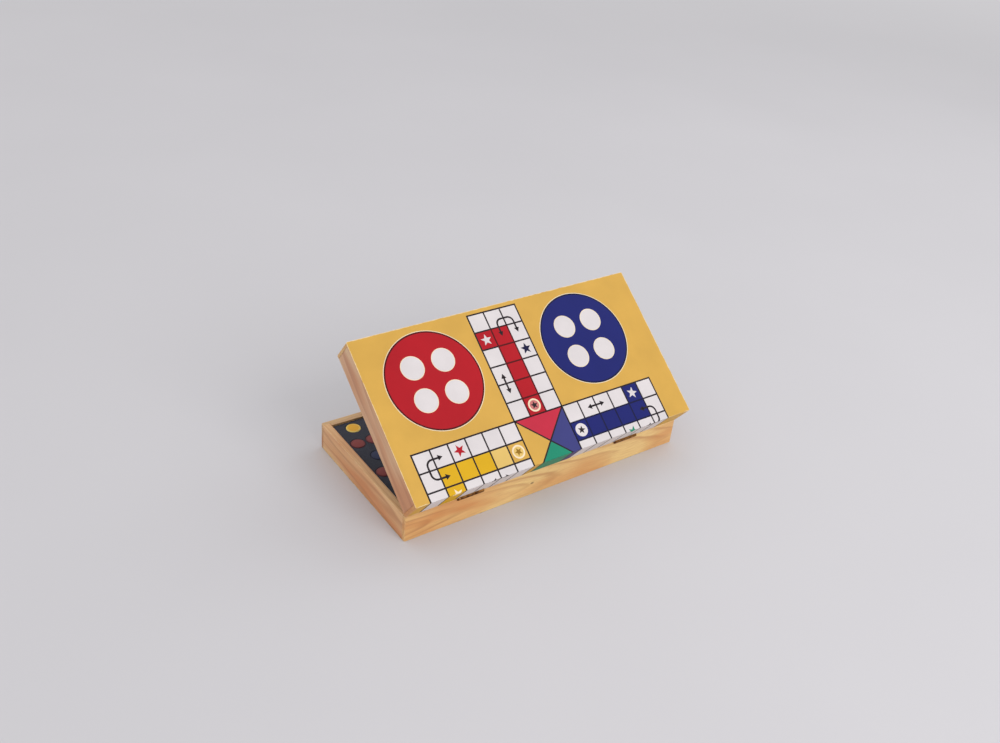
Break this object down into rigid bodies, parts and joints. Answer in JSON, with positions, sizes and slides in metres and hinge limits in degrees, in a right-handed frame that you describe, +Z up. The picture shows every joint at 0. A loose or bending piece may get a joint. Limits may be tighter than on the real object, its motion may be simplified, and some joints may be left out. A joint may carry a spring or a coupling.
{
  "type": "folding ludo board box",
  "caption": "Hinged wooden box, two shallow trays whose printed outer faces open flat into a magnetic ludo board, with foam, counters and dice inside.",
  "frame": {"origin": "centre of the tray's printed underside, on the surface the box stands on", "axes": "+X along the hinge, +Y from the hinge side to the opening side, +Z up"},
  "size_m": [0.254, 0.1426, 0.1152],
  "materials": {
    "pine": "satin",
    "plywood": "matte",
    "steel_sheet": "satin",
    "board_print": "satin",
    "foam": "matte",
    "hinge_brass": "satin",
    "screw_brass": "satin",
    "hook_brass": "satin",
    "yellow_plastic": "gloss",
    "red_plastic": "gloss",
    "blue_plastic": "gloss",
    "green_plastic": "gloss",
    "magnet": "satin",
    "die_plastic": "gloss"
  },
  "bodies": {
    "tray": {"tray_front_wall": "pine", "tray_back_wall": "pine", "tray_left_wall": "pine", "tray_right_wall": "pine", "tray_panel": "plywood", "tray_steel_sheet": "steel_sheet", "tray_print": "board_print", "tray_foam": "foam", "tray_hinge_screws": "screw_brass", "left_hinge_tray_leaf": "hinge_brass", "right_hinge_tray_leaf": "hinge_brass", "hinge_pins": "hinge_brass", "catch_pin": "screw_brass"},
    "lid": {"lid_front_wall": "pine", "lid_back_wall": "pine", "lid_left_wall": "pine", "lid_right_wall": "pine", "lid_panel": "plywood", "lid_steel_sheet": "steel_sheet", "lid_print": "board_print", "lid_pad": "foam", "lid_hinge_screws": "screw_brass", "left_hinge_lid_leaf": "hinge_brass", "right_hinge_lid_leaf": "hinge_brass", "hook_screw": "screw_brass"},
    "hook": {"hook": "hook_brass"},
    "yellow_piece_1": {"yellow_counter_1": "yellow_plastic", "yellow_magnet_1": "magnet"},
    "red_piece_1": {"red_counter_1": "red_plastic", "red_magnet_1": "magnet"},
    "red_piece_2": {"red_counter_2": "red_plastic", "red_magnet_2": "magnet"},
    "blue_piece_1": {"blue_counter_1": "blue_plastic", "blue_magnet_1": "magnet"},
    "red_piece_3": {"red_counter_3": "red_plastic", "red_magnet_3": "magnet"},
    "red_piece_4": {"red_counter_4": "red_plastic", "red_magnet_4": "magnet"},
    "blue_piece_2": {"blue_counter_2": "blue_plastic", "blue_magnet_2": "magnet"},
    "blue_piece_3": {"blue_counter_3": "blue_plastic", "blue_magnet_3": "magnet"},
    "yellow_piece_2": {"yellow_counter_2": "yellow_plastic", "yellow_magnet_2": "magnet"},
    "green_piece_1": {"green_counter_1": "green_plastic", "green_magnet_1": "magnet"},
    "green_piece_2": {"green_counter_2": "green_plastic", "green_magnet_2": "magnet"},
    "yellow_piece_3": {"yellow_counter_3": "yellow_plastic", "yellow_magnet_3": "magnet"},
    "green_piece_3": {"green_counter_3": "green_plastic", "green_magnet_3": "magnet"},
    "green_piece_4": {"green_counter_4": "green_plastic", "green_magnet_4": "magnet"},
    "yellow_piece_4": {"yellow_counter_4": "yellow_plastic", "yellow_magnet_4": "magnet"},
    "blue_piece_4": {"blue_counter_4": "blue_plastic", "blue_magnet_4": "magnet"},
    "left_die": {"die_left": "die_plastic"},
    "right_die": {"die_right": "die_plastic"}
  },
  "joints": [
    {"name": "lid_hinge", "type": "hinge", "parent": "tray", "child": "lid", "pos_m": [0, -0.0635, 0.022], "axis": [1, 0, 0], "range_deg": [-36.5, 143.5]},
    {"name": "hook_swing", "type": "hinge", "parent": "lid", "child": "hook", "pos_m": [0, 0.03324, 0.10478], "axis": [0, -0.8039, -0.5948], "range_deg": [-95, 25]},
    {"name": "yellow_counter_1_lift", "type": "slide", "parent": "tray", "child": "yellow_piece_1", "axis": [0, 0, 1], "range_m": [0, 0.016]},
    {"name": "red_counter_1_lift", "type": "slide", "parent": "tray", "child": "red_piece_1", "axis": [0, 0, 1], "range_m": [0, 0.016]},
    {"name": "red_counter_2_lift", "type": "slide", "parent": "tray", "child": "red_piece_2", "axis": [0, 0, 1], "range_m": [0, 0.016]},
    {"name": "blue_counter_1_lift", "type": "slide", "parent": "tray", "child": "blue_piece_1", "axis": [0, 0, 1], "range_m": [0, 0.016]},
    {"name": "red_counter_3_lift", "type": "slide", "parent": "tray", "child": "red_piece_3", "axis": [0, 0, 1], "range_m": [0, 0.016]},
    {"name": "red_counter_4_lift", "type": "slide", "parent": "tray", "child": "red_piece_4", "axis": [0, 0, 1], "range_m": [0, 0.016]},
    {"name": "blue_counter_2_lift", "type": "slide", "parent": "tray", "child": "blue_piece_2", "axis": [0, 0, 1], "range_m": [0, 0.016]},
    {"name": "blue_counter_3_lift", "type": "slide", "parent": "tray", "child": "blue_piece_3", "axis": [0, 0, 1], "range_m": [0, 0.016]},
    {"name": "yellow_counter_2_lift", "type": "slide", "parent": "tray", "child": "yellow_piece_2", "axis": [0, 0, 1], "range_m": [0, 0.016]},
    {"name": "green_counter_1_lift", "type": "slide", "parent": "tray", "child": "green_piece_1", "axis": [0, 0, 1], "range_m": [0, 0.016]},
    {"name": "green_counter_2_lift", "type": "slide", "parent": "tray", "child": "green_piece_2", "axis": [0, 0, 1], "range_m": [0, 0.016]},
    {"name": "yellow_counter_3_lift", "type": "slide", "parent": "tray", "child": "yellow_piece_3", "axis": [0, 0, 1], "range_m": [0, 0.016]},
    {"name": "green_counter_3_lift", "type": "slide", "parent": "tray", "child": "green_piece_3", "axis": [0, 0, 1], "range_m": [0, 0.016]},
    {"name": "green_counter_4_lift", "type": "slide", "parent": "tray", "child": "green_piece_4", "axis": [0, 0, 1], "range_m": [0, 0.016]},
    {"name": "yellow_counter_4_lift", "type": "slide", "parent": "tray", "child": "yellow_piece_4", "axis": [0, 0, 1], "range_m": [0, 0.016]},
    {"name": "blue_counter_4_lift", "type": "slide", "parent": "tray", "child": "blue_piece_4", "axis": [0, 0, 1], "range_m": [0, 0.016]},
    {"name": "left_die_lift", "type": "slide", "parent": "tray", "child": "left_die", "axis": [0, 0, 1], "range_m": [0, 0.015]},
    {"name": "right_die_lift", "type": "slide", "parent": "tray", "child": "right_die", "axis": [0, 0, 1], "range_m": [0, 0.015]}
  ]
}
